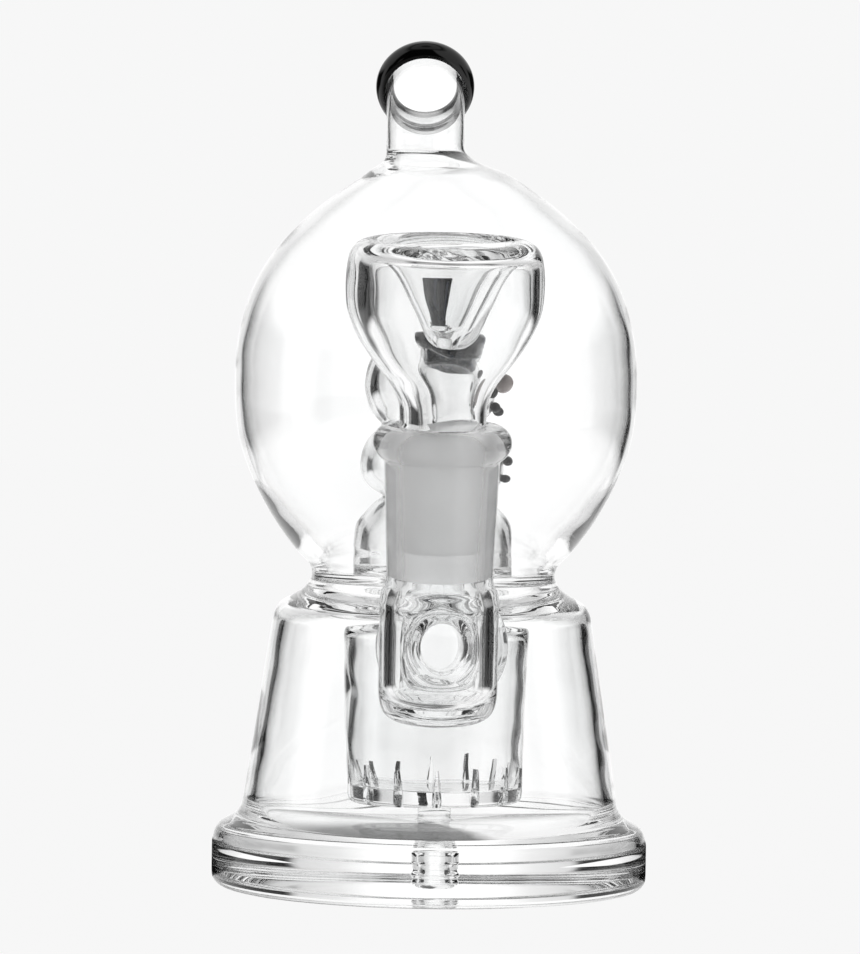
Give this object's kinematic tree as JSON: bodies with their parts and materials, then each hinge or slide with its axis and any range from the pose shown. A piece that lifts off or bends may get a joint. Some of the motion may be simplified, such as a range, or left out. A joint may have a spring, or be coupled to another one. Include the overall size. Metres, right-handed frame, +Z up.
{
  "type": "glass water pipe",
  "caption": "Clear glass water pipe shaped like a gumball machine: round foot, conical can, globe with a glass snowman, bent black-lipped mouthpiece and a lift-out ground-glass bowl.",
  "frame": {"origin": "centre of the foot's flat underside", "axes": "+Z up, inlet socket and bowl towards -Y, mouthpiece bends back towards +Y, the figure faces +X"},
  "size_m": [0.0776, 0.1083, 0.1513],
  "materials": {
    "clear_glass": "clear polished borosilicate",
    "frosted_glass": "ground, frosted",
    "black_glass": "opaque black, glossy",
    "hat_glass": "opaque dark slate, glossy",
    "nose_glass": "opaque warm grey, glossy"
  },
  "bodies": {
    "pipe": {"foot_plate": "clear_glass", "foot_flange": "clear_glass", "can_wall": "clear_glass", "can_shoulder": "clear_glass", "waist_ring": "clear_glass", "globe": "clear_glass", "neck_ring": "clear_glass", "globe_floor": "clear_glass", "mouthpiece_tube": "clear_glass", "joint_tube": "clear_glass", "inlet_arm": "clear_glass", "arm_weld_ring": "clear_glass", "perc_dome": "clear_glass", "perc_slit_ring": "clear_glass", "perc_base": "clear_glass", "perc_post": "clear_glass", "figure_base": "clear_glass", "figure_body": "clear_glass", "figure_head": "clear_glass", "mouth_lip": "black_glass", "joint_lip": "frosted_glass", "joint_socket": "frosted_glass", "hat_brim": "hat_glass", "hat_crown": "hat_glass", "hat_band": "black_glass", "nose_bead": "nose_glass", "eye_beads": "black_glass", "mouth_beads": "black_glass", "button_beads": "black_glass"},
    "bowl": {"bowl_joint": "frosted_glass", "bowl_neck": "clear_glass", "bowl_bulb": "clear_glass", "bowl_rim": "clear_glass", "bowl_funnel": "clear_glass"}
  },
  "joints": [
    {"name": "bowl_lift", "type": "slide", "parent": "pipe", "child": "bowl", "axis": [0, -0.1392, 0.9903], "range_m": [0, 0.06]}
  ]
}
